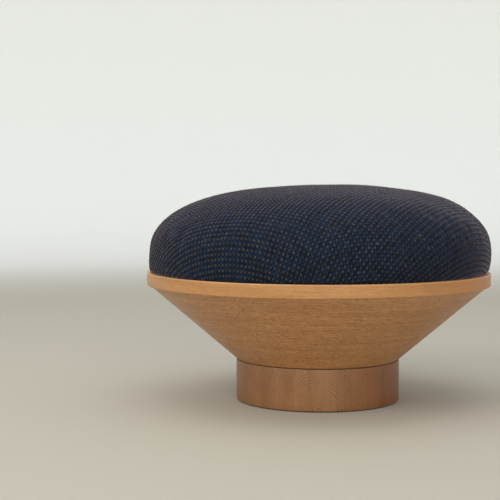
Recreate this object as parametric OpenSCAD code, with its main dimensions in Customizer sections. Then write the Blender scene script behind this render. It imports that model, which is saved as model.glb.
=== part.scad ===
// Low floor seat: a domed, upholstered cushion resting in a conical wooden bowl on a round foot.
// Millimetres, +Z up, origin at the centre of the face that stands on the floor.

/* [Rim] */
// Outer diameter of the hoop around the bowl's mouth
rim_d = 450; // [430:5:480]
// Height of the hoop
rim_h = 16.5; // [14:0.5:22]
// Thickness of the hoop, measured across
rim_wall = 6.4; // [5:0.2:8]
// How far the hoop stands out past the cone below it
rim_step = 3.6; // [2:0.2:5]

/* [Bowl] */
// Height of the cone, from the foot to the hoop
bowl_h = 97.8; // [80:0.2:110]
// Thickness of the cone, measured square to its slope
bowl_wall = 6.5; // [5:0.5:8]
// Thickness of the floor disc in the cone's narrow end
bowl_floor_t = 9; // [7:0.5:12]

/* [Foot] */
// Outer diameter of the foot
foot_d = 215; // [200:5:240]
// Height of the foot, from the floor to its upper edge
foot_h = 54; // [48:1:70]
// Thickness of the foot's bent plywood core
foot_core_t = 9; // [6:0.5:12]
// Height of the dark joint left open between the foot and the bowl
shadow_gap = 1.2; // [0.8:0.2:3]
// Height of the felt ring that the foot stands on
felt_h = 1.6; // [1:0.2:3]

/* [Cushion] */
// How much narrower than the hoop the cushion is at its widest
cushion_inset = 5; // [3:0.5:8]
// Height of the cushion's crown above the hoop
crown_h = 113; // [90:1:130]
// Thickness of the cover cloth
cover_t = 1.5; // [1:0.1:2.5]
// Thickness of the wadding over the foam
wadding_t = 10.5; // [6:0.5:14]
// Thickness of the firm lower foam
base_foam_t = 35; // [25:1:45]
// Thickness of the plywood seat board
board_t = 12; // [9:1:14]

/* [Fastenings] */
// Number of staples that hold the cover's edge to the seat board
cover_staple_count = 40; // [24:2:60]
// Number of staples that hold the dust cloth to the seat board
dust_staple_count = 30; // [20:2:48]
// Number of screws through the bowl's floor into the foot
screw_count = 6; // [3:1:8]
// Number of glue blocks inside the foot
block_count = 6; // [3:1:8]

/* [Hidden] */
$fn = 96;

// Levels, from the floor up
rim_r = rim_d / 2;
foot_r = foot_d / 2;
bowl_z = foot_h + shadow_gap;
rim_z = bowl_z + bowl_h;
rim_top = rim_z + rim_h;
apex_z = rim_top + crown_h;

// The cone
bowl_set_back = 0.5;
bowl_r0 = foot_r - bowl_set_back;
bowl_r1 = rim_r - rim_step;
bowl_slope = (bowl_r1 - bowl_r0) / bowl_h;
bowl_across = bowl_wall / cos(atan(bowl_slope));
rim_inner_r = rim_r - rim_wall;

// The ledge that the cushion rests on
ledge_w = 20.6;
ledge_rise = 4;
ledge_r = rim_inner_r - ledge_w;
ledge_z = rim_z + ledge_rise;

// The foot
veneer_t = 0.8;
veneer_ease = 0.5;
felt_w = 7;
felt_set_back = 1;
plate_t = 12;
foot_inner_r = foot_r - veneer_t - foot_core_t;
block_w = 16;
block_h = 18;
block_toe = 4;
block_sweep = 22;

// The cushion
rest_gap = 0.3;
side_gap = 0.3;
cushion_z = ledge_z + rest_gap;
cushion_r = (rim_d - cushion_inset) / 2;
waist_rise = 16.5;
waist_z = rim_top + waist_rise;
crown_power = 2.45;
tuck_power = 1.4;
tuck_in = (cushion_r - rim_inner_r + side_gap) / pow(waist_rise / (waist_z - cushion_z), tuck_power);
board_z = cushion_z + cover_t;
board_on_ledge = 10;
board_r = ledge_r + board_on_ledge;
foam_z = board_z + board_t;
foam_split_z = foam_z + base_foam_t;
foam_inset = cover_t + wadding_t;
hem_inner_r = ledge_r - 30;
cloth_t = 0.6;
cloth_r = ledge_r - 4;
cloth_step = 2;
vent_r = 12;
vent_count = 6;
vent_circle_r = 110;

// Staples and screws
wire = 0.5;
wire_w = 1.2;
staple_crown = 10;
staple_leg = 7;
cover_staple_r = ledge_r - 21;
dust_staple_r = ledge_r - 9;
screw_circle_r = 70;
screw_r = 2;
screw_head_r = 4.2;
screw_head_h = 2.6;
screw_len = 18;
screw_tip = 3;
screw_tip_r = 0.3;
recess = [4.4, 1, 1.4];

// Rounding of the hoop's edges
rim_ease = 1.2;

// Extra reach of a cut past the face that it opens, and of one solid into the next
past = 1;
lap = 0.1;

// Half outline of the cushion, drawn in by inset: a flat base, tucked-in sides, a full crown.
function cushion_outline(inset) =
    let (
        r = cushion_r - inset,
        h = apex_z - waist_z - inset,
        low = cushion_z + inset,
        bend = 2 / crown_power
    )
    concat(
        [[0, low]],
        [for (u = [1:-0.2:0.2])
            [r - tuck_in * pow(u, tuck_power), waist_z - u * (waist_z - low)]],
        [for (a = [90:-5:5])
            [r * pow(sin(a), bend), waist_z + h * pow(cos(a), bend)]],
        [[0, waist_z + h]]
    );

// Rectangle from [x0, z0] to [x1, z1] with its four corners rounded to radius r
module rounded_section(x0, z0, x1, z1, r) {
    translate([x0 + r, z0]) square([x1 - x0 - 2 * r, z1 - z0]);
    translate([x0, z0 + r]) square([x1 - x0, z1 - z0 - 2 * r]);
    for (x = [x0 + r, x1 - r], z = [z0 + r, z1 - r])
        translate([x, z]) circle(r = r);
}

// Copies of a child evenly spaced around the upright axis
module around(count, start = 0) {
    for (i = [0:count - 1])
        rotate([0, 0, start + i * 360 / count]) children();
}

// Flat staple, crown down at height 0, lying along Y, with two legs that point up
module staple() {
    translate([-wire_w / 2, -staple_crown / 2, 0])
        cube([wire_w, staple_crown, wire]);
    for (y = [-staple_crown / 2, staple_crown / 2 - wire])
        translate([-wire_w / 2, y, 0])
            cube([wire_w, wire, staple_leg]);
}

// Countersunk wood screw, its head's face at height 0, pointing down
module wood_screw() {
    difference() {
        union() {
            translate([0, 0, -screw_head_h])
                cylinder(r1 = screw_r, r2 = screw_head_r, h = screw_head_h);
            translate([0, 0, screw_tip - screw_len])
                cylinder(r = screw_r, h = screw_len - screw_head_h - screw_tip + lap);
            translate([0, 0, -screw_len])
                cylinder(r1 = screw_tip_r, r2 = screw_r, h = screw_tip);
        }
        for (turn = [0, 90])
            rotate([0, 0, turn])
                translate([-recess.x / 2, -recess.y / 2, -recess.z])
                    cube([recess.x, recess.y, recess.z + past]);
    }
}

// Felt ring under the foot
module felt_ring() {
    color([0.27, 0.24, 0.21])
        rotate_extrude()
            translate([foot_r - veneer_t - felt_w - felt_set_back, 0]) square([felt_w, felt_h]);
}

// Bent plywood hoop that carries the load down to the floor
module foot_core() {
    color([0.68, 0.52, 0.36])
        rotate_extrude()
            translate([foot_inner_r, felt_h]) square([foot_core_t, foot_h - felt_h]);
}

// Face veneer around the core, its two outer edges eased
module foot_veneer() {
    color([0.55, 0.38, 0.26])
        rotate_extrude()
            polygon([
                [foot_r - veneer_t, felt_h],
                [foot_r - veneer_ease, felt_h],
                [foot_r, felt_h + veneer_ease],
                [foot_r, foot_h - veneer_ease],
                [foot_r - veneer_ease, foot_h],
                [foot_r - veneer_t, foot_h]
            ]);
}

// Plywood disc in the top of the foot, standing proud of it by the open joint
module foot_plate() {
    color([0.66, 0.51, 0.36])
        difference() {
            translate([0, 0, bowl_z - plate_t])
                cylinder(r = foot_inner_r, h = plate_t);
            around(screw_count)
                translate([screw_circle_r, 0, bowl_z - plate_t - past])
                    cylinder(r = screw_r, h = plate_t + 2 * past, $fn = 24);
        }
}

// Curved glue blocks in the corner between the plate and the hoop
module glue_blocks() {
    top = bowl_z - plate_t;
    color([0.74, 0.6, 0.42])
        around(block_count, 180 / block_count - block_sweep / 2)
            rotate_extrude(angle = block_sweep)
                polygon([
                    [foot_inner_r, top],
                    [foot_inner_r - block_w, top],
                    [foot_inner_r - block_w, top - block_toe],
                    [foot_inner_r - block_toe, top - block_h],
                    [foot_inner_r, top - block_h]
                ]);
}

// Cone of coiled wooden tape, open at both ends
module bowl_shell() {
    color([0.6, 0.44, 0.28])
        rotate_extrude()
            polygon([
                [bowl_r0 - bowl_across, bowl_z],
                [bowl_r0, bowl_z],
                [bowl_r1, rim_z],
                [bowl_r1 - bowl_across, rim_z]
            ]);
}

// Floor disc, bevelled to the cone's slope and glued into its narrow end
module bowl_floor() {
    floor_r = bowl_r0 - bowl_across;
    floor_top = bowl_z + bowl_floor_t;
    color([0.66, 0.49, 0.32])
        difference() {
            translate([0, 0, bowl_z])
                cylinder(r1 = floor_r, r2 = floor_r + bowl_floor_t * bowl_slope, h = bowl_floor_t);
            around(screw_count)
                translate([screw_circle_r, 0, 0]) {
                    translate([0, 0, bowl_z - past])
                        cylinder(r = screw_r, h = bowl_floor_t + 2 * past, $fn = 24);
                    translate([0, 0, floor_top - screw_head_h])
                        cylinder(r1 = screw_r, r2 = screw_head_r, h = screw_head_h);
                    translate([0, 0, floor_top])
                        cylinder(r = screw_head_r, h = past);
                }
        }
}

// Countersunk screws that draw the bowl down onto the foot
module floor_screws() {
    color([0.72, 0.71, 0.68])
        around(screw_count)
            translate([screw_circle_r, 0, bowl_z + bowl_floor_t])
                wood_screw($fn = 24);
}

// Hoop around the bowl's mouth, with rounded edges
module rim_hoop() {
    color([0.75, 0.58, 0.4])
        rotate_extrude()
            rounded_section(rim_inner_r, rim_z, rim_r, rim_top, rim_ease);
}

// Ring glued across the joint between cone and hoop; its flat top carries the cushion
module support_ring() {
    cone_inner_r = bowl_r1 - bowl_across;
    color([0.7, 0.55, 0.38])
        rotate_extrude()
            polygon([
                [ledge_r, ledge_z],
                [ledge_r, rim_z - (cone_inner_r - ledge_r) / bowl_slope],
                [cone_inner_r, rim_z],
                [rim_inner_r, rim_z + rim_ease],
                [rim_inner_r, ledge_z]
            ]);
}

// Round plywood board with holes that let air out of the foam
module seat_board() {
    color([0.8, 0.67, 0.48])
        difference() {
            translate([0, 0, board_z]) cylinder(r = board_r, h = board_t);
            translate([0, 0, board_z - past]) {
                cylinder(r = vent_r, h = board_t + 2 * past);
                around(vent_count)
                    translate([vent_circle_r, 0, 0])
                        cylinder(r = vent_r, h = board_t + 2 * past);
            }
        }
}

// Firm disc of foam glued to the board
module base_foam() {
    color([0.86, 0.84, 0.62])
        translate([0, 0, foam_z]) cylinder(r = board_r, h = base_foam_t);
}

// Section through the soft foam: the cushion's outline above the firm foam
module crown_section() {
    intersection() {
        polygon(cushion_outline(foam_inset));
        translate([0, foam_split_z]) square([cushion_r, crown_h]);
    }
}

// Soft foam that gives the crown
module top_foam() {
    color([0.93, 0.9, 0.74])
        rotate_extrude() crown_section();
}

// Wadding over the crown and down the sides to the board
module wadding() {
    color([0.94, 0.94, 0.92])
        rotate_extrude()
            difference() {
                polygon(cushion_outline(cover_t));
                crown_section();
                translate([-past, board_z - past])
                    square([board_r + past, board_t + base_foam_t + past]);
            }
}

// Woven cover in one piece, drawn over the cushion, its hem turned in under the board
module seat_cover() {
    color([0.13, 0.15, 0.21])
        rotate_extrude()
            difference() {
                polygon(cushion_outline(0));
                polygon(cushion_outline(cover_t));
                translate([-past, cushion_z - past]) square([hem_inner_r + past, cover_t + 2 * past]);
            }
}

// Staples through the cover's hem into the board
module cover_staples() {
    color([0.7, 0.7, 0.7])
        around(cover_staple_count)
            translate([cover_staple_r, 0, cushion_z - wire]) staple();
}

// Dust cloth under the board, stepping down over the hem
module dust_cloth() {
    hem_z = cushion_z - wire;
    color([0.1, 0.1, 0.1])
        rotate_extrude()
            polygon([
                [0, board_z],
                [hem_inner_r - cloth_step, board_z],
                [hem_inner_r - cloth_step + cloth_t, hem_z],
                [cloth_r, hem_z],
                [cloth_r, hem_z - cloth_t],
                [hem_inner_r - cloth_step, hem_z - cloth_t],
                [hem_inner_r - cloth_step - cloth_t, board_z - cloth_t],
                [0, board_z - cloth_t]
            ]);
}

// Staples around the edge of the dust cloth
module dust_staples() {
    color([0.7, 0.7, 0.7])
        around(dust_staple_count, 180 / dust_staple_count)
            translate([dust_staple_r, 0, cushion_z - 2 * wire - cloth_t]) staple();
}

felt_ring();
foot_core();
foot_veneer();
foot_plate();
glue_blocks();
bowl_shell();
bowl_floor();
floor_screws();
rim_hoop();
support_ring();
seat_board();
base_foam();
top_foam();
wadding();
seat_cover();
cover_staples();
dust_cloth();
dust_staples();
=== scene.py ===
"""Low floor seat: a domed cushion with a woven cover, in a bowl of coiled wood. Metres, +Z up."""

import math

import bpy
import numpy as np
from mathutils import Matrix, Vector
from mathutils.bvhtree import BVHTree


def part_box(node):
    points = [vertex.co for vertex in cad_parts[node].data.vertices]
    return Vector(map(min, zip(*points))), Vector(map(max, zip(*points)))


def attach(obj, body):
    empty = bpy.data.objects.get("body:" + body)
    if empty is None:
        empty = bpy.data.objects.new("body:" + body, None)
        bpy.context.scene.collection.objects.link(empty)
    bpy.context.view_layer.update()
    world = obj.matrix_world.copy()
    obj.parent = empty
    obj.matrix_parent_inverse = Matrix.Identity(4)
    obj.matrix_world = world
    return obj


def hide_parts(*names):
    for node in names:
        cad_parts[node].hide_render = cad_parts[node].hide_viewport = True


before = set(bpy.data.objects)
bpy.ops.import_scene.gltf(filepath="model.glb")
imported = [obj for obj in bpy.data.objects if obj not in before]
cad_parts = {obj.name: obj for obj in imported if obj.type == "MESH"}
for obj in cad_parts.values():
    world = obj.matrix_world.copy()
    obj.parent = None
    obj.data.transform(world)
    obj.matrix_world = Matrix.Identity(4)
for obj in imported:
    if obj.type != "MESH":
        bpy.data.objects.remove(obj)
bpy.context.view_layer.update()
MM = 0.001

# ---------------------------------------------------------------- places, from the frame
COVER_LOW, COVER_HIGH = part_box("seat_cover")
BOARD_LOW, BOARD_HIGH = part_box("seat_board")
RIM_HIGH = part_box("rim_hoop")[1]
FOAM_LOW, FOAM_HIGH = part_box("base_foam")
CROWN_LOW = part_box("top_foam")[0]
CLOTH_LOW, CLOTH_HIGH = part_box("dust_cloth")
FOOT_LOW, FOOT_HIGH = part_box("foot_veneer")

COVER_R = COVER_HIGH.x             # at its widest, the waist
APEX_Z = COVER_HIGH.z
BASE_Z = COVER_LOW.z
RIM_TOP = RIM_HIGH.z
WAIST_Z = RIM_TOP + 16.5 * MM
COVER_T = BOARD_LOW.z - BASE_Z     # the cover's thickness
HEM_R = 168 * MM                   # inner edge of the hem under the board
HOOP_R = RIM_HIGH.x - 6.4 * MM     # the hoop's inner radius
HOOP_EASE = 1.2 * MM               # how far its upper edges are rounded
HOOP_GAP = 1 * MM                  # between the cloth and the hoop

# ---------------------------------------------------------------- the cushion's form
TUCK = 8.1 * MM             # how far its side draws in from the waist to the board
PRESS = 2.6 * MM            # how much further the hoop presses it in
LEAN = 1.3 * MM             # how far the waist leans to the right
FULLER = 3.6 * MM           # how much further its right shoulder stands out than its left
SLACK = 4 * MM              # how much too small the bag is before it is filled, and the most it may move
INNER_GAP = 0.6 * MM        # how much further in than its thickness the cover's inner face lies

# ---------------------------------------------------------------- the weave
CROWN_GAP, SIDE_GAP = 6.03 * MM, 6.5 * MM   # between nubs: the pull of the hem stretches the side
CROWN_REACH = 195 * MM      # how far along the cloth from the apex the crown's spacing holds
LATTICE_LOW = 6 * MM        # how far below the hoop's top the woven lattice ends
WEAVE_TURN = math.radians(-30.5)   # the azimuth at which the rows of nubs run level
STEPS = 4                   # mesh steps from one nub to the next
NUB_H = 1.35 * MM           # how far a nub stands out
RIB = 0.65                  # height of the ribs that the nubs stand on, as a share of theirs
SIDE_CELLS = (31, 38)       # how many nubs from the apex the crown turns into the side

# ---------------------------------------------------------------- looks
SHEEN = 0.48                # of the loose fibres on the cloth
LACQUER = 0.2               # satin lacquer on the wood
FLOOR_TONE = (0.4, 0.37, 0.3)
WALL_TONE = (0.84, 0.845, 0.8)
EYE, TILT, LENS = (-0.0895, -1.6602, 0.2899), 0.0558, 90.63   # metres, radians down, millimetres


# ---------------------------------------------------------------- the cushion's outline
def cushion_profile(inset=0.0, crown_power=2.45, points=900):
    """Half outline from the apex to the board's edge: distances along it, radii and heights."""
    r0, h0 = COVER_R - inset, APEX_Z - WAIST_Z - inset
    a = np.linspace(0, math.pi / 2, points)
    r = r0 * np.sin(a) ** (2 / crown_power)
    z = WAIST_Z + h0 * np.cos(a) ** (2 / crown_power)
    # below the waist: in towards the hoop, over its edge and down inside it
    low = BASE_Z + inset
    zl = np.linspace(WAIST_Z, low, 160)[1:]
    u = (WAIST_Z - zl) / (WAIST_Z - low)
    inside = ramp(RIM_TOP + 1.5 * MM - zl, 0, 4 * MM)
    rl = r0 - TUCK * u**2 - PRESS * inside
    r, z = np.concatenate([r, rl]), np.concatenate([z, zl])
    s = np.concatenate([[0], np.cumsum(np.hypot(np.diff(r), np.diff(z)))])
    return s, r, z


def ramp(value, low, high):
    """0 below low, 1 above high, smooth between."""
    q = np.clip((value - low) / (high - low), 0, 1)
    return q * q * (3 - 2 * q)


def cells_at(s):
    """Nubs counted along the cloth from the apex."""
    return np.minimum(s, CROWN_REACH) / CROWN_GAP + np.maximum(s - CROWN_REACH, 0) / SIDE_GAP


class Outline:
    """The cushion's outer surface, before the cloth is filled."""

    def __init__(self):
        self.s, self.r, self.z = cushion_profile()
        self.dr, self.dz = np.gradient(self.r, self.s), np.gradient(self.z, self.s)

    def at(self, along, azimuth, lift=0.0):
        """Points, and the way out of the cloth at each. The stuffing sits fuller on the right."""
        r, z = np.interp(along, self.s, self.r), np.interp(along, self.s, self.z)
        dr, dz = np.interp(along, self.s, self.dr), np.interp(along, self.s, self.dz)
        size = np.hypot(dr, dz)
        out_r, out_z = -dz / size, dr / size
        right = np.sin(azimuth)
        shoulder = ramp(z, RIM_TOP + 12 * MM, RIM_TOP + 60 * MM) * ramp(r, 90 * MM, 180 * MM)
        more = FULLER * np.clip(right, 0, 1) ** 1.5 * shoulder + LEAN * right * ramp(z, RIM_TOP, WAIST_Z)
        more = more * ramp(r, 0, 60 * MM) + lift
        x, y = r * np.sin(azimuth), -r * np.cos(azimuth)
        ox, oy = out_r * np.sin(azimuth), -out_r * np.cos(azimuth)
        place = np.stack([x + ox * more, y + oy * more, z + out_z * more], -1)
        return place, np.stack([ox, oy, out_z], -1)


# ---------------------------------------------------------------- mesh helpers
def smooth(obj):
    obj.data.shade_smooth()
    return obj


def new_object(name, verts, faces):
    mesh = bpy.data.meshes.new(name)
    mesh.from_pydata([tuple(v) for v in verts], [], [tuple(f) for f in faces])
    mesh.validate()
    obj = bpy.data.objects.new(name, mesh)
    bpy.context.scene.collection.objects.link(obj)
    return obj


def turned(name, outline, sides=144, closed=True, shake=None):
    """The outline's (radius, height) points carried round the axis, then moved by shake if given."""
    outline = np.array(outline, float)
    turn = np.linspace(0, 2 * math.pi, sides, endpoint=False)
    verts, rings = [], []
    for r, z in outline:
        if r < 1e-6:
            rings.append([len(verts)] * sides)
            verts.append((0.0, 0.0, z))
        else:
            rings.append(list(range(len(verts), len(verts) + sides)))
            verts += [(r * math.sin(a), -r * math.cos(a), z) for a in turn]
    faces = []
    count = len(rings)
    for k in range(count if closed else count - 1):
        one, two = rings[k], rings[(k + 1) % count]
        for i in range(sides):
            j = (i + 1) % sides
            face = list(dict.fromkeys([one[i], two[i], two[j], one[j]]))
            if len(face) > 2:
                faces.append(face)
    verts = np.array(verts)
    return new_object(name, verts if shake is None else verts + shake(verts), faces)


def lumps(verts, size, amount, seed):
    """Soft random movement of each vertex, up to the amount, over lumps of the given size."""
    rng = np.random.default_rng(seed)
    move = np.zeros_like(verts)
    for _ in range(14):
        way = rng.normal(size=3)
        wave = rng.normal(size=3)
        wave *= 2 * math.pi / size / np.linalg.norm(wave) * rng.uniform(0.5, 1.2)
        move += np.outer(np.sin(verts @ wave + rng.uniform(0, 6.28)), way / np.linalg.norm(way))
    return move * amount / 4


def slack_bag(outline):
    """A closed bag on the outline, a little too small above the hoop."""
    along = np.linspace(4 * MM, outline.s[-1], 90)
    turn = np.linspace(0, 2 * math.pi, 120, endpoint=False)
    grid, where = np.meshgrid(along, turn, indexing="ij")
    z = np.interp(grid, outline.s, outline.z)
    slack = -SLACK * ramp(z, RIM_TOP + 2 * MM, RIM_TOP + 24 * MM)
    places, _ = outline.at(grid.ravel(), where.ravel(), slack.ravel())
    verts = np.concatenate([[[0, 0, APEX_Z - SLACK]], places, [[0, 0, BASE_Z]]])
    verts += lumps(verts, 90 * MM, 0.5 * MM, 5) * ramp(verts[:, 2], RIM_TOP, WAIST_Z)[:, None]
    n, rows, last = len(turn), len(along), len(verts) - 1
    faces = []
    for i in range(n):
        j = (i + 1) % n
        faces.append((0, 1 + i, 1 + j))
        for k in range(rows - 1):
            up, down = 1 + k * n, 1 + (k + 1) * n
            faces.append((up + i, down + i, down + j, up + j))
        faces.append((1 + (rows - 1) * n + i, last, 1 + (rows - 1) * n + j))
    bag = new_object("slack_bag", verts, faces)
    remesh = bag.modifiers.new("remesh", "REMESH")
    remesh.mode, remesh.voxel_size = "VOXEL", 6 * MM
    settle(bag)
    return bag


def blow_up(bag, frames=20):
    """Fills the bag by a cloth simulation that holds it below the hoop's top."""
    held = bag.vertex_groups.new(name="held")
    weights = 1 - ramp(positions(bag)[:, 2], RIM_TOP + 1 * MM, RIM_TOP + 14 * MM)
    for i, weight in enumerate(weights):
        if weight > 0:
            held.add([i], float(weight), "REPLACE")
    cloth = bag.modifiers.new("cloth", "CLOTH")
    cloth.settings.quality = 5
    cloth.settings.mass = 0.25
    cloth.settings.tension_stiffness = cloth.settings.compression_stiffness = 12
    cloth.settings.bending_stiffness = 0.6
    cloth.settings.use_pressure = True
    cloth.settings.uniform_pressure_force = 4
    cloth.settings.vertex_group_mass = "held"
    cloth.settings.effector_weights.gravity = 0
    cloth.point_cache.frame_start, cloth.point_cache.frame_end = 1, frames
    for number in range(1, frames + 1):
        bpy.context.scene.frame_set(number)
        bpy.context.view_layer.update()
    settle(bag)


def filled_cloth(outline):
    """The cover before it gets its weave: a slack bag, blown up, no point moved by more than SLACK."""
    bag = slack_bag(outline)
    start = positions(bag)
    blow_up(bag)
    moved = positions(bag) - start
    far = np.linalg.norm(moved, axis=1, keepdims=True)
    capped = start + moved * np.minimum(1, SLACK / np.maximum(far, 1e-9))
    bag.data.vertices.foreach_set("co", capped.astype(np.float32).ravel())
    bag.modifiers.new("finer", "SUBSURF").levels = 1
    settle(bag)
    bpy.context.scene.frame_set(1)
    return bag


def positions(obj):
    """The mesh's vertices as an array."""
    out = np.empty(len(obj.data.vertices) * 3, np.float32)
    obj.data.vertices.foreach_get("co", out)
    return out.reshape(-1, 3).astype(float)


def settle(obj):
    """Writes the object's modifiers into its mesh."""
    made = bpy.data.meshes.new_from_object(obj.evaluated_get(bpy.context.evaluated_depsgraph_get()))
    old = obj.data
    obj.modifiers.clear()
    obj.data = made
    bpy.data.meshes.remove(old)


def on_the_bag(outline, bag, along, azimuth):
    """Points on the filled cloth, and the way out at each. The foam holds its outline, so what the
    simulation moves evenly all round is given back, and its unevenness stays."""
    tree = BVHTree.FromObject(bag, bpy.context.evaluated_depsgraph_get())
    places, ways = outline.at(along, azimuth)
    moved = np.zeros(len(places))
    for i, (place, way) in enumerate(zip(places, ways)):
        reach = tree.ray_cast(Vector(place - way * 15 * MM), Vector(way), 30 * MM)[3]
        moved[i] = 0 if reach is None else reach - 15 * MM
    band = np.round(along / (3 * MM)).astype(int)
    count = np.maximum(np.bincount(band), 1)
    even = np.interp(along, np.arange(len(count)) * 3 * MM, np.bincount(band, moved) / count)
    free = ramp(np.interp(along, outline.s, outline.z), RIM_TOP, RIM_TOP + 8 * MM)
    free = free * ramp(along, 0, 20 * MM)
    return places + ways * ((moved - even) * free * 0.7)[:, None], ways


def nub_height(u, v):
    """Height of the weave: taupe nubs at whole numbers and blue ones half way between, on ribs of
    constant u that give way to ribs of constant v on the side where those run level."""
    rng = np.random.default_rng(7)
    size = rng.uniform(0.84, 1.1, (160, 160))

    def nubs(shift, seed):
        iu, iv = np.round(u + shift), np.round(v + shift)
        lump = np.exp(-(((u + shift - iu) / 0.27) ** 2) - ((v + shift - iv) / 0.3) ** 2)
        return lump * size[(iu.astype(int) + 80) % 160, (iv.astype(int) + 80 + seed) % 160]

    c = np.hypot(u, v)
    level = ramp(c, *SIDE_CELLS) * ramp(-u / np.maximum(c, 1), -0.45, -0.05)
    rib = (1 - level) * np.cos(math.pi * u) ** 2 + level * np.cos(math.pi * v) ** 2
    return nubs(0, 0) + 0.35 * nubs(0.5, 31) + RIB * rib


def clear_of_hoop(verts):
    """Presses the cloth in where it would reach into the hoop's inner edge."""
    r = np.hypot(verts[:, 0], verts[:, 1])
    limit = HOOP_R - HOOP_GAP + np.maximum(verts[:, 2] - (RIM_TOP - HOOP_EASE), 0)
    verts[:, :2] *= np.minimum(1, limit / np.maximum(r, 1e-9))[:, None]
    return verts


def square_lattice(reach):
    """A round piece of square lattice: u and v of its points, its faces, and its edge points in order."""
    n = int(math.ceil(reach * STEPS))
    line = np.arange(-n, n + 1) / STEPS
    u, v = np.meshgrid(line, line, indexing="ij")
    inside = np.hypot(u, v) <= reach
    quad = inside[:-1, :-1] & inside[1:, :-1] & inside[1:, 1:] & inside[:-1, 1:]
    index = -np.ones(u.shape, int)
    used = np.zeros(u.shape, bool)
    for a, b in ((0, 0), (1, 0), (1, 1), (0, 1)):
        used[a : a + quad.shape[0], b : b + quad.shape[1]] |= quad
    index[used] = np.arange(used.sum())
    i, j = np.nonzero(quad)
    faces = np.stack([index[i, j], index[i, j + 1], index[i + 1, j + 1], index[i + 1, j]], 1)
    u, v = u[used], v[used]
    edges = np.concatenate([faces[:, [k, (k + 1) % 4]] for k in range(4)])
    _, first, count = np.unique(np.sort(edges, 1), axis=0, return_index=True, return_counts=True)
    ring = np.unique(edges[first[count == 1]])
    return u, v, faces, ring[np.argsort(np.arctan2(u[ring], v[ring]))]


def hem_path(outline, edge_s):
    """Radius, height and distance along the cloth, from the lattice's edge down, under the board to the
    hem's inner edge, and back up inside as the cover's inner face."""
    s, r, z = outline.s, outline.r, outline.z
    path = []
    for q in np.linspace(0, 1, 6):
        at = edge_s + (s[-1] - 1.2 * MM - edge_s) * q
        path.append((np.interp(at, s, r), np.interp(at, s, z), at))
    reach, bottom_r = s[-1], r[-1]
    for q in (0.3, 0.6):
        path.append((bottom_r - (0.4 + 0.8 * q) * MM, BASE_Z + (0.8 - q) * MM, reach + q * MM))
    for q in np.linspace(0.0, 1, 7):
        under = bottom_r - 2 * MM + (HEM_R - bottom_r + 2 * MM) * q
        path.append((under, BASE_Z, reach + (2 + 44 * q) * MM))
    board_r, board_z = BOARD_HIGH.x + 0.15 * MM, BOARD_LOW.z - 0.1 * MM
    path.append((HEM_R, board_z, path[-1][2] + COVER_T))
    path.append((board_r, board_z, path[-1][2] + 40 * MM))
    inner_s, inner_r, inner_z = cushion_profile(COVER_T + INNER_GAP)
    for q in (0.02, 0.06, 0.12, 0.2, 0.3, 0.42, 0.56, 0.7, 0.84, 0.95):
        at = inner_s[-1] * (1 - q)
        pr, pz = np.interp(at, inner_s, inner_r), np.interp(at, inner_s, inner_z)
        pr = max(pr, board_r) if pz < BOARD_HIGH.z + 1 * MM else pr
        path.append((pr, pz, path[-1][2] + 20 * MM))
    return path


def woven_cover():
    """The cover: a square lattice laid over the filled bag, then rings to the hem and back inside."""
    outline = Outline()
    s, z = outline.s, outline.z
    edge_s = np.interp(-(RIM_TOP - LATTICE_LOW), -z[-160:], s[-160:])
    u, v, faces, ring = square_lattice(float(cells_at(edge_s)))
    azimuth = np.arctan2(u, v) + WEAVE_TURN
    along = np.interp(np.hypot(u, v), cells_at(s), s)
    bag = filled_cloth(outline)
    places, ways = on_the_bag(outline, bag, along, azimuth)
    bpy.data.objects.remove(bag)
    height = NUB_H * (nub_height(u, v) - 0.6) * ramp(edge_s - along, 2.5 * MM, 8 * MM)
    verts = clear_of_hoop(places + ways * height[:, None])

    turn = azimuth[ring]
    rows, last, uvs, all_faces = [verts], ring, [np.stack([u, v], 1)], [faces]
    base = len(verts)
    for pr, pz, ps in hem_path(outline, edge_s):
        rows.append(np.stack([pr * np.sin(turn), -pr * np.cos(turn), np.full_like(turn, pz)], 1))
        c = float(cells_at(np.array(ps)))
        uvs.append(np.stack([c * np.sin(turn - WEAVE_TURN), c * np.cos(turn - WEAVE_TURN)], 1))
        new = np.arange(base, base + len(ring))
        all_faces.append(np.stack([last, np.roll(last, -1), np.roll(new, -1), new], 1))
        last, base = new, base + len(ring)
    rows.append(np.array([[0, 0, APEX_Z - COVER_T - INNER_GAP]]))
    uvs.append(np.zeros((1, 2)))
    fan = [(int(a), int(b), base) for a, b in zip(last, np.roll(last, -1))]
    obj = new_object("woven_cover", np.concatenate(rows), [*np.concatenate(all_faces).tolist(), *fan])
    loops = np.empty(len(obj.data.loops), np.int32)
    obj.data.loops.foreach_get("vertex_index", loops)
    layer = obj.data.uv_layers.new(name="weave")
    layer.uv.foreach_set("vector", np.concatenate(uvs)[loops].astype(np.float32).ravel())
    return smooth(obj)


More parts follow.
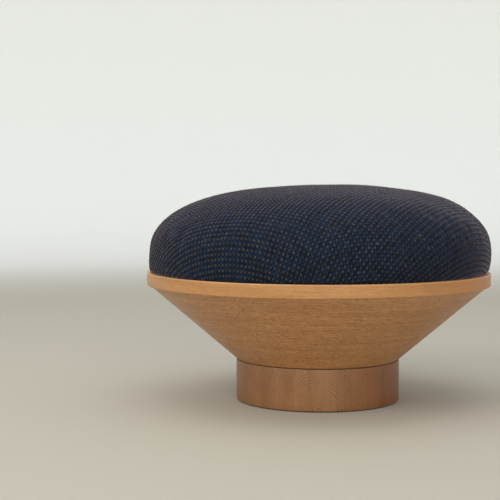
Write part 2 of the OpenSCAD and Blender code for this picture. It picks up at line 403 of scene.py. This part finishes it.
# ---------------------------------------------------------------- node helpers
class Nodes:
    """A material's nodes, written as short calls. Each call returns the output socket."""

    def __init__(self, name, roughness=0.6):
        self.material = bpy.data.materials.new(name)
        self.material.use_nodes = True
        self.tree = self.material.node_tree
        self.shader = self.tree.nodes["Principled BSDF"]
        self.shader.inputs["Roughness"].default_value = roughness

    def add(self, kind, **values):
        node = self.tree.nodes.new(kind)
        for name, value in values.items():
            setattr(node, name, value)
        return node

    def put(self, socket, value):
        if isinstance(value, bpy.types.NodeSocket):
            self.tree.links.new(value, socket)
        elif isinstance(value, (tuple, list)) and len(value) == 3 and socket.type == "RGBA":
            socket.default_value = (*value, 1)
        else:
            socket.default_value = value

    def place(self, scale=(1, 1, 1)):
        """The place in the object's own metres, scaled."""
        coords = self.add("ShaderNodeTexCoord").outputs["Object"]
        node = self.add("ShaderNodeVectorMath", operation="MULTIPLY")
        self.put(node.inputs[0], coords)
        node.inputs[1].default_value = scale
        return node.outputs[0]

    def math(self, operation, a, b=0.0, c=0.0, clamp=False):
        node = self.add("ShaderNodeMath", operation=operation, use_clamp=clamp)
        for socket, value in zip(node.inputs, (a, b, c)):
            self.put(socket, value)
        return node.outputs[0]

    def split(self, vector):
        node = self.add("ShaderNodeSeparateXYZ")
        self.put(node.inputs[0], vector)
        return node.outputs

    def join(self, x=0.0, y=0.0, z=0.0):
        node = self.add("ShaderNodeCombineXYZ")
        for socket, value in zip(node.inputs, (x, y, z)):
            self.put(socket, value)
        return node.outputs[0]

    def noise(self, vector, scale=1.0, detail=3.0, roughness=0.5, distortion=0.0):
        node = self.add("ShaderNodeTexNoise", noise_dimensions="3D")
        self.put(node.inputs["Vector"], vector)
        node.inputs["Scale"].default_value = scale
        node.inputs["Detail"].default_value = detail
        node.inputs["Roughness"].default_value = roughness
        node.inputs["Distortion"].default_value = distortion
        return node.outputs["Fac"]

    def white(self, vector):
        node = self.add("ShaderNodeTexWhiteNoise", noise_dimensions="3D")
        self.put(node.inputs["Vector"], vector)
        return node.outputs["Value"]

    def steps(self, value, low, high):
        """0 below low, 1 above high, smooth between."""
        node = self.add("ShaderNodeMapRange", interpolation_type="SMOOTHSTEP")
        self.put(node.inputs["Value"], value)
        node.inputs["From Min"].default_value = low
        node.inputs["From Max"].default_value = high
        return node.outputs["Result"]

    def mix(self, share, a, b):
        node = self.add("ShaderNodeMix", data_type="RGBA")
        self.put(node.inputs["Factor"], share)
        self.put(node.inputs[6], a)
        self.put(node.inputs[7], b)
        return node.outputs[2]

    def shade(self, colour, share, tone):
        """The colour times a tone, by a share."""
        node = self.add("ShaderNodeMix", data_type="RGBA", blend_type="MULTIPLY")
        self.put(node.inputs["Factor"], share)
        self.put(node.inputs[6], colour)
        self.put(node.inputs[7], tone)
        return node.outputs[2]

    def bump(self, height, strength=0.5, distance=0.001):
        node = self.add("ShaderNodeBump")
        node.inputs["Strength"].default_value = strength
        node.inputs["Distance"].default_value = distance
        self.put(node.inputs["Height"], height)
        return node.outputs["Normal"]

    def finish(self, colour, roughness=None, normal=None, **plain):
        self.put(self.shader.inputs["Base Color"], colour)
        if roughness is not None:
            self.put(self.shader.inputs["Roughness"], roughness)
        if normal is not None:
            self.put(self.shader.inputs["Normal"], normal)
        for name, value in plain.items():
            self.put(self.shader.inputs[name.replace("_", " ")], value)
        return self.material


# ---------------------------------------------------------------- materials
def cloth_nubs(n, u, v, shift, wide, long, seed):
    """Distance from the nearest nub's centre, 1 at its edge, and that nub's own random tone."""
    su, sv = n.math("ADD", u, shift), n.math("ADD", v, shift)
    iu, iv = n.math("ROUND", su), n.math("ROUND", sv)
    x = n.math("DIVIDE", n.math("SUBTRACT", su, iu), wide)
    y = n.math("DIVIDE", n.math("SUBTRACT", sv, iv), long)
    square = n.math("MULTIPLY_ADD", x, x, n.math("MULTIPLY", y, y))
    return n.math("SQRT", square), n.white(n.join(iu, iv, seed))


def cloth_ribs(n, u, v):
    """The ribs, placed as nub_height places them, and a mask over the right-hand side where they run
    level, which carries painted light and shade on the weave.
    """
    far = n.math("SQRT", n.math("MULTIPLY_ADD", u, u, n.math("MULTIPLY", v, v)))
    sideways = n.math("DIVIDE", u, far)
    side = n.steps(far, *SIDE_CELLS)
    level = n.math("MULTIPLY", side, n.steps(sideways, 0.45, 0.05))
    painted_light_side = n.math("MULTIPLY", side, n.steps(sideways, 0.6, 0.95))
    one, other = (n.math("POWER", n.math("COSINE", n.math("MULTIPLY", c, math.pi)), 2.0) for c in (u, v))
    return n.math("MULTIPLY_ADD", level, n.math("SUBTRACT", other, one), one), painted_light_side


def cloth_lint(n, u, v):
    """A few pale loose fibres."""
    curl = n.noise(n.join(u, v, 31.0), 0.8, 0.0, 0.5, 1.2)
    line = n.steps(n.math("ABSOLUTE", n.math("SUBTRACT", curl, 0.5)), 0.024, 0.008)
    return n.math("MULTIPLY", line, n.steps(n.noise(n.join(u, v, 43.0), 0.45, 1.0), 0.6, 0.66))


def cover_cloth():
    """Thick taupe nubs and blue ones on navy, a little fuzzy."""
    n = Nodes("cover_cloth")
    u, v, _ = n.split(n.add("ShaderNodeUVMap", uv_map="weave").outputs[0])
    wander = [n.noise(n.join(u, v, seed), 2.6, 2.0) for seed in (0.0, 50.0)]
    u, v = (n.math("ADD", c, n.math("MULTIPLY_ADD", w, 0.26, -0.13)) for c, w in zip((u, v), wander))
    taupe, taupe_tone = cloth_nubs(n, u, v, 0.0, 0.28, 0.3, 3.0)
    blue, blue_tone = cloth_nubs(n, u, v, 0.5, 0.36, 0.42, 9.0)
    rib, painted_light_side = cloth_ribs(n, u, v)
    fibres = n.noise(n.join(u, v, 7.0), 12.0, 4.0, 0.65)
    patches = n.noise(n.join(u, v, 3.0), 0.35, 2.0)

    colour = n.mix(fibres, (0.002, 0.004, 0.0085), (0.0048, 0.0098, 0.0215))
    # more of the ribs' paler colour on the right-hand side: painted light raking the ribs
    rib_share = n.math("MULTIPLY", rib, n.math("MULTIPLY_ADD", painted_light_side, 0.4, 0.45))
    colour = n.mix(rib_share, colour, (0.0158, 0.0146, 0.0168))
    blue_colour = n.mix(blue_tone, (0.0038, 0.0115, 0.027), (0.0056, 0.02, 0.049))
    blue_share = n.math("MULTIPLY", n.steps(blue, 1.1, 0.55), n.steps(blue_tone, -0.2, 0.5))
    colour = n.mix(blue_share, colour, blue_colour)
    taupe_colour = n.mix(taupe_tone, (0.02, 0.0178, 0.018), (0.0455, 0.0383, 0.036))
    taupe_colour = n.shade(taupe_colour, n.steps(fibres, 0.35, 0.62), (1.35, 1.28, 1.22))
    # taupe nubs toned down on the right-hand side: painted shade
    painted_nub_shade = n.math("MULTIPLY_ADD", painted_light_side, -0.4, 1.0)
    taupe_share = n.math("MULTIPLY", n.steps(taupe, 1.12, 0.62), painted_nub_shade)
    colour = n.mix(taupe_share, colour, taupe_colour)
    colour = n.shade(colour, n.steps(patches, 0.35, 0.7), (0.84, 0.86, 0.9))
    colour = n.mix(n.math("MULTIPLY", cloth_lint(n, u, v), 0.4), colour, (0.095, 0.09, 0.095))

    relief = n.math("MULTIPLY_ADD", n.steps(taupe, 1.3, 0.0), 0.6, n.math("MULTIPLY", fibres, 0.8))
    relief = n.math("MULTIPLY_ADD", n.steps(blue, 1.3, 0.0), 0.25, relief)
    return n.finish(
        colour,
        normal=n.bump(relief, 0.5, 0.8 * MM),
        Roughness=0.95,
        Specular_IOR_Level=0.12,
        Sheen_Weight=SHEEN,
        Sheen_Roughness=0.255,
        Sheen_Tint=(0.86, 0.74, 0.82),
    )


def wood(
    name, light, dark, grain, dash=(250, 250, 1500), dashes=0.5,
    roughness=0.45, rings=None, painted_light_tone=None,
):
    """Fine-grained wood. grain and dash scale the place: small numbers run along the fibres."""
    n = Nodes(name)
    broad = n.noise(n.place([g * 0.1 for g in grain]), 1.0, 2.0, 0.5)
    fine = n.noise(n.place(grain), 1.0, 4.0, 0.62)
    colour = n.mix(n.steps(fine, 0.32, 0.68), dark, light)
    colour = n.shade(colour, n.steps(broad, 0.35, 0.7), (0.88, 0.85, 0.82))
    height = fine
    if rings is not None:
        lines, tone = rings(n)
        colour = n.shade(colour, lines, tone)
        height = n.math("MULTIPLY_ADD", lines, -0.3, height)
    marks = n.steps(n.noise(n.place(dash), 1.0, 1.5, 0.5), 0.54, 0.66)
    pale = n.steps(n.noise(n.place([d * 0.8 for d in dash]), 1.0, 1.5, 0.5), 0.57, 0.68)
    colour = n.shade(colour, n.math("MULTIPLY", marks, dashes), (0.66, 0.52, 0.42))
    colour = n.shade(colour, n.math("MULTIPLY", pale, dashes), (1.24, 1.22, 1.18))
    height = n.math("MULTIPLY_ADD", marks, -0.3, height)
    rough = n.math("MULTIPLY_ADD", fine, 0.14, roughness - 0.07)
    # painted light: the given function lays painted highlight and shade into the colour
    if painted_light_tone is not None:
        colour = painted_light_tone(n, colour)
    return n.finish(
        colour,
        roughness=rough,
        normal=n.bump(height, 0.25, 0.25 * MM),
        Specular_IOR_Level=0.4,
        Coat_Weight=LACQUER,
        Coat_Roughness=0.28,
    )


def coil_lines(n):
    """The edges of the coiled tape: a level line every millimetre or so, each with its own tone."""
    z = n.split(n.place())[2]
    wave = n.noise(n.place((9, 9, 30)), 1.0, 2.0)
    up = n.math("MULTIPLY_ADD", wave, 0.0012, z)
    turn = n.math("DIVIDE", up, 1.05 * MM)
    own = n.white(n.join(n.math("FLOOR", turn), 0.0, 0.0))
    joint = n.steps(n.math("ABSOLUTE", n.math("SUBTRACT", n.math("FRACT", turn), 0.5)), 0.34, 0.5)
    return n.math("MULTIPLY_ADD", joint, 0.35, n.math("MULTIPLY", own, 0.5)), (0.8, 0.74, 0.68)


def arch_rings(n):
    """Growth rings cut flat: upright at the sides of the foot, arched at its front."""
    x, y, z = n.split(n.place())
    around = n.math("MULTIPLY", n.math("ARCTAN2", x, n.math("MULTIPLY", y, -1.0)), FOOT_HIGH.x)
    sway = n.noise(n.place((22, 22, 20)), 1.0, 2.0, 0.5)
    around = n.math("MULTIPLY_ADD", sway, 0.035, n.math("ADD", around, -0.012))
    out = n.math("MULTIPLY", n.math("ABSOLUTE", around), 1.15)
    depth = n.math("ADD", z, 0.003)
    radius = n.math("SQRT", n.math("MULTIPLY_ADD", out, out, n.math("MULTIPLY", depth, depth)))
    radius = n.math("MULTIPLY_ADD", n.noise(n.place((90, 90, 40)), 1.0, 3.0, 0.55), 0.005, radius)
    wave = n.math("SINE", n.math("MULTIPLY", n.math("POWER", radius, 1.3), 2 * math.pi / 0.0021))
    patchy = n.steps(n.noise(n.place((50, 50, 30)), 1.0, 2.0), 0.3, 0.65)
    return n.math("MULTIPLY", n.steps(wave, -0.3, 1.0), patchy), (0.83, 0.74, 0.67)


def painted_arris_highlight_and_right_shade(n, colour):
    """The hoop is paler on its upward-facing top and rounded edges, a painted highlight, and redder and
    darker towards its right-hand side, painted shade.
    """
    level = n.math("ABSOLUTE", n.split(n.add("ShaderNodeNewGeometry").outputs["Normal"])[2])
    # paler where the surface faces up: painted highlight on the top and rounded edges
    colour = n.shade(colour, n.steps(level, 0.12, 0.7), (1.3, 1.42, 1.65))
    x, _, _ = n.split(n.place())
    x = n.math("MULTIPLY_ADD", n.noise(n.place((20, 20, 20)), 1.0, 2.0), 0.05, n.math("ADD", x, -0.025))
    # redder and darker towards the right-hand side: painted shade
    return n.shade(colour, n.steps(x, 0.1, 0.2), (1.02, 0.86, 0.7))


def painted_side_shade(n, colour):
    """The foot's veneer darkens and reddens away from its front, on the right more than on the left:
    painted shade on its sides.
    """
    x, _, z = n.split(n.place())
    x = n.math("MULTIPLY_ADD", n.noise(n.place((25, 25, 8)), 1.0, 2.0), 0.03, n.math("ADD", x, -0.015))
    # darker and redder towards the right-hand side: painted shade
    colour = n.shade(colour, n.steps(x, 0.01, 0.1), (0.72, 0.54, 0.47))
    # darker towards the left-hand side: painted shade
    return n.shade(colour, n.steps(x, -0.02, -0.1), (0.8, 0.72, 0.69))


def plies(light, dark, name, upright=True):
    """Plywood: grain on the face, and pale and dark plies where its edge is cut."""
    n = Nodes(name)
    x, y, z = n.split(n.place())
    fine = n.noise(n.place((25, 450, 450)), 1.0, 4.0, 0.6)
    face = n.mix(n.steps(fine, 0.3, 0.7), dark, light)
    across = z if upright else n.math("SQRT", n.math("MULTIPLY_ADD", x, x, n.math("MULTIPLY", y, y)))
    layer = n.math("FRACT", n.math("DIVIDE", n.math("MULTIPLY_ADD", fine, 0.3 * MM, across), 2.8 * MM))
    cut = n.mix(n.steps(layer, 0.45, 0.55), dark, light)
    cut = n.shade(cut, n.steps(n.noise(n.place((900, 900, 900)), 1.0, 2.0), 0.5, 0.7), (0.7, 0.6, 0.5))
    level = n.math("ABSOLUTE", n.split(n.add("ShaderNodeNewGeometry").outputs["Normal"])[2])
    shown = n.steps(level, 0.3, 0.6) if upright else n.steps(level, 0.6, 0.3)
    colour = n.mix(shown, cut, face)
    rough = n.math("MULTIPLY_ADD", fine, 0.16, 0.5)
    return n.finish(colour, roughness=rough, normal=n.bump(fine, 0.25, 0.3 * MM), Specular_IOR_Level=0.35)


def mottled(name, low, high, scale, roughness=0.85, bump=0.4, depth=0.3, pores=0.0, **more):
    """A finely mottled material: felt, foam, wadding, fleece or metal."""
    n = Nodes(name)
    grain = n.noise(n.place(), scale, 4.0, 0.6)
    broad = n.noise(n.place(), scale / 12, 2.0, 0.5)
    colour = n.mix(n.math("MULTIPLY", n.math("ADD", grain, broad), 0.5), low, high)
    height = grain
    if pores:
        cells = n.add("ShaderNodeTexVoronoi")
        n.put(cells.inputs["Vector"], n.place())
        cells.inputs["Scale"].default_value = pores
        hole = n.steps(cells.outputs["Distance"], 0.35, 0.1)
        # the pores are darkened: painted shade inside them
        colour = n.shade(colour, hole, (0.45, 0.42, 0.36))
        height = n.math("MULTIPLY_ADD", hole, -1.0, grain)
    rough = n.math("MULTIPLY_ADD", grain, 0.2, roughness - 0.1)
    return n.finish(colour, roughness=rough, normal=n.bump(height, bump, depth * MM), **more)


def dress(node, material):
    """Gives a CAD node the material."""
    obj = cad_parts[node]
    obj.data.materials.clear()
    obj.data.materials.append(material)


def piece(obj, material, body, nodes):
    """Finishes a piece: its material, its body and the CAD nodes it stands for."""
    obj.data.materials.append(material)
    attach(obj, body)
    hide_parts(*nodes)
    return smooth(obj)


# ---------------------------------------------------------------- pieces
def foot_band():
    """The foot's outer veneer, with its sharp edges taken off."""
    inner, outer, low, high, ease = FOOT_HIGH.x - 0.8 * MM, FOOT_HIGH.x, FOOT_LOW.z, FOOT_HIGH.z, 0.7 * MM
    outline = [(inner, low), (outer - ease, low)]
    outline += [
        (outer - ease + ease * math.sin(a), low + ease - ease * math.cos(a))
        for a in np.linspace(0, math.pi / 2, 5)[1:]
    ]
    outline += [(outer, low + (high - low) * q) for q in (0.25, 0.5, 0.75)]
    outline += [
        (outer - ease + ease * math.cos(a), high - ease + ease * math.sin(a))
        for a in np.linspace(0, math.pi / 2, 5)
    ]
    outline += [(inner, high)]
    return turned("foot_band", outline[::-1], 256)


def foam_block(name, low, high, seed, rounding):
    """A round foam block: eased edges, sides that belly a little, and a slightly uneven cut."""
    r, z0, z1 = high.x - 1 * MM, low.z + 0.3 * MM, high.z - 0.3 * MM
    outline = [(0, z1), (r * 0.4, z1), (r * 0.75, z1)]
    for a in np.linspace(0, math.pi / 2, 6):
        outline.append((r - rounding + rounding * math.sin(a), z1 - rounding + rounding * math.cos(a)))
    outline.append((r + 0.5 * MM, (z0 + z1) / 2))
    for a in np.linspace(0, math.pi / 2, 6):
        outline.append((r - 2 * MM + 2 * MM * math.cos(a), z0 + 2 * MM - 2 * MM * math.sin(a)))
    outline += [(r * 0.75, z0), (r * 0.4, z0), (0, z0)]
    uneven = lambda verts: lumps(verts, 70 * MM, 0.5 * MM, seed)
    return turned(name, outline[::-1], 128, closed=False, shake=uneven)


def domed(name, gap_out, gap_in, low_z, amount, seed):
    """A layer between two offsets of the cushion's outline, down to low_z; solid if gap_in is None."""
    outer = np.stack(cushion_profile(gap_out, points=60)[1:], 1)
    outer = outer[outer[:, 1] >= low_z]
    outer = np.concatenate([outer, [[outer[-1, 0], low_z]]])
    if gap_in is None:
        path = [*outer, (0, low_z)]
    else:
        inner = np.stack(cushion_profile(gap_in, points=60)[1:], 1)
        inner = inner[inner[:, 1] >= low_z]
        beside = inner[:, 1] < FOAM_HIGH.z + 1 * MM
        inner[beside, 0] = np.maximum(inner[beside, 0], FOAM_HIGH.x + 0.6 * MM)
        path = [*outer, (inner[-1, 0], low_z), *inner[::-1]]
    path = [(0.0, z) if r < 0.5 * MM else (r, z) for r, z in path]
    uneven = lambda verts: lumps(verts, 45 * MM, amount, seed)
    return turned(name, path[::-1], 128, closed=False, shake=uneven)


def dust_fleece():
    """The fleece under the seat, drawn tight over the hem, with small tucks at its staples."""
    r_out, tucks = CLOTH_HIGH.x, 30
    radii = [0.0, *np.linspace(0.02, r_out - 2 * MM, 44), r_out]

    def shake(verts):
        r = np.hypot(verts[:, 0], verts[:, 1])
        a = np.arctan2(verts[:, 0], -verts[:, 1])
        tuck = np.cos(a * tucks) * ramp(r, 120 * MM, 185 * MM) * 0.25 * MM
        up = (CLOTH_HIGH.z - CLOTH_LOW.z - 0.9 * MM) * ramp(HEM_R - r, 0, 6 * MM) + tuck + 0.35 * MM
        return np.stack([0 * r, 0 * r, up], 1) + lumps(verts, 60 * MM, 0.15 * MM, 11) * [0, 0, 1]

    return turned("dust_fleece", [(r, CLOTH_LOW.z) for r in radii], 240, closed=False, shake=shake)


cover = piece(woven_cover(), cover_cloth(), "cushion", ["seat_cover"])

WADDING = mottled(
    "wadding", (0.62, 0.61, 0.58), (0.85, 0.84, 0.82), 700, 0.95, 0.7, 0.8, Sheen_Weight=0.3
)
SOFT_FOAM = mottled("soft_foam", (0.72, 0.66, 0.48), (0.84, 0.79, 0.62), 900, 0.9, 0.5, 0.5, pores=900)
FIRM_FOAM = mottled("firm_foam", (0.5, 0.52, 0.5), (0.66, 0.68, 0.66), 900, 0.9, 0.5, 0.5, pores=700)
piece(
    domed("wadding_layer", 5.5 * MM, 11 * MM, BOARD_HIGH.z + 0.8 * MM, 0.5 * MM, 3), WADDING, "cushion",
    ["wadding"],
)
piece(
    domed("crown_foam", 12.5 * MM, None, CROWN_LOW.z + 0.5 * MM, 0.6 * MM, 4), SOFT_FOAM, "cushion",
    ["top_foam"],
)
piece(
    foam_block("seat_foam", FOAM_LOW, FOAM_HIGH, 6, 4 * MM), FIRM_FOAM, "cushion",
    ["base_foam"],
)

FLEECE = mottled("dust_cloth", (0.012, 0.012, 0.013), (0.035, 0.035, 0.037), 1800, 0.92, 0.6, 0.3)
fleece = piece(dust_fleece(), FLEECE, "cushion", ["dust_cloth"])

# the rim's wood carries a painted highlight on its top edges and painted shade on its right
RIM_WOOD = wood(
    "rim_wood", (0.455, 0.223, 0.073), (0.385, 0.181, 0.056), (60, 60, 1000), (220, 220, 1300), 0.4,
    painted_light_tone=painted_arris_highlight_and_right_shade,
)
SHELL_WOOD = wood(
    "coiled_wood", (0.575, 0.3, 0.127), (0.437, 0.211, 0.079), (60, 60, 1300), (230, 230, 1100), 0.9,
    rings=coil_lines,
)
# the foot's wood carries painted shade towards its sides
FOOT_WOOD = wood(
    "foot_wood", (0.297, 0.143, 0.053), (0.257, 0.119, 0.043), (800, 800, 45), (900, 900, 160), 0.35,
    rings=arch_rings, painted_light_tone=painted_side_shade,
)
BENT_PLY = plies((0.5, 0.33, 0.17), (0.36, 0.22, 0.11), "bent_ply", upright=False)
PLATE_PLY = plies((0.5, 0.33, 0.17), (0.38, 0.24, 0.12), "plate_ply")
BOARD_PLY = plies((0.66, 0.5, 0.3), (0.5, 0.33, 0.17), "seat_ply")
PALE_WOOD = wood("plain_wood", (0.54, 0.34, 0.16), (0.44, 0.25, 0.11), (60, 60, 700))
FLOOR_WOOD = wood("bowl_floor", (0.48, 0.27, 0.13), (0.38, 0.2, 0.09), (25, 500, 500), (60, 900, 900))
STEEL = mottled("steel", (0.5, 0.5, 0.49), (0.68, 0.67, 0.65), 1500, 0.35, 0.1, 0.05, Metallic=1.0)
FELT = mottled(
    "felt", (0.035, 0.03, 0.026), (0.085, 0.075, 0.062), 2500, 0.95, 0.6, 0.5, Sheen_Weight=0.3
)

piece(foot_band(), FOOT_WOOD, "base", ["foot_veneer"])
dress("rim_hoop", RIM_WOOD)
dress("bowl_shell", SHELL_WOOD)
dress("foot_core", BENT_PLY)
dress("foot_plate", PLATE_PLY)
dress("glue_blocks", PALE_WOOD)
dress("support_ring", PALE_WOOD)
dress("bowl_floor", FLOOR_WOOD)
dress("seat_board", BOARD_PLY)
dress("felt_ring", FELT)
for node in ("floor_screws", "cover_staples", "dust_staples"):
    dress(node, STEEL)


# ---------------------------------------------------------------- stage
def studio():
    """A round studio: a pale floor that curves up into a pale wall."""
    floor_r, bend_r, wall_z, sides = 2.7, 1.1, 1.5, 96
    outline = [(0.0, 0.0), (0.9, 0.0), (floor_r, 0.0)]
    for k in range(1, 13):
        a = math.pi / 2 * k / 12
        outline.append((floor_r + bend_r * math.sin(a), bend_r * (1 - math.cos(a))))
    outline.append((floor_r + bend_r, wall_z))
    verts = [(0, 0, 0)]
    faces = []
    for k, (r, z) in enumerate(outline[1:]):
        verts += [
            (r * math.cos(2 * math.pi * i / sides), r * math.sin(2 * math.pi * i / sides), z)
            for i in range(sides)
        ]
        for i in range(sides):
            j = (i + 1) % sides
            low, high = 1 + (k - 1) * sides, 1 + k * sides
            faces.append((0, 1 + i, 1 + j) if k == 0 else (low + i, high + i, high + j, low + j))
    obj = smooth(new_object("studio", verts, faces))
    n = Nodes("studio", 0.9)
    x, y, _ = n.split(n.place())
    far = n.math("SQRT", n.math("ADD", n.math("POWER", x, 2.0), n.math("POWER", y, 2.0)))
    obj.data.materials.append(n.finish(n.mix(n.steps(far, 1.4, 3.4), FLOOR_TONE, WALL_TONE)))


def area(name, place, size, power, colour, aim=(0, 0, 0.15)):
    data = bpy.data.lights.new(name, "AREA")
    data.energy, data.size, data.color = power, size, colour
    obj = bpy.data.objects.new(name, data)
    bpy.context.scene.collection.objects.link(obj)
    obj.location = place
    obj.rotation_euler = (Vector(aim) - Vector(place)).to_track_quat("-Z", "Y").to_euler()


def light():
    area("key", (-1.95, -1.8, 1.8), 1.4, 38, (1.0, 0.985, 0.96))
    area("fill", (1.5, -2.4, 1.1), 1.6, 3, (0.97, 0.98, 1.0))
    area("low front", (0.5, -3.7, 0.75), 1.8, 62, (1.0, 0.985, 0.96))
    area("top", (-0.2, -0.3, 2.5), 2.2, 20, (0.98, 0.99, 1.0))
    world = bpy.data.worlds.new("world")
    world.use_nodes = True
    background = world.node_tree.nodes["Background"]
    background.inputs["Color"].default_value = (0.93, 0.95, 1.0, 1)
    background.inputs["Strength"].default_value = 0.84
    bpy.context.scene.world = world


def camera():
    """At sitting height in front of the seat, a little to its left, with a long lens."""
    data = bpy.data.cameras.new("camera")
    obj = bpy.data.objects.new("camera", data)
    bpy.context.scene.collection.objects.link(obj)
    obj.location = EYE
    obj.rotation_euler = (math.pi / 2 - TILT, 0, 0)
    data.sensor_width, data.lens = 36, LENS
    data.clip_start, data.clip_end = 0.05, 50
    bpy.context.scene.camera = obj


studio()
light()
camera()
bpy.context.scene.view_settings.view_transform = "Standard"
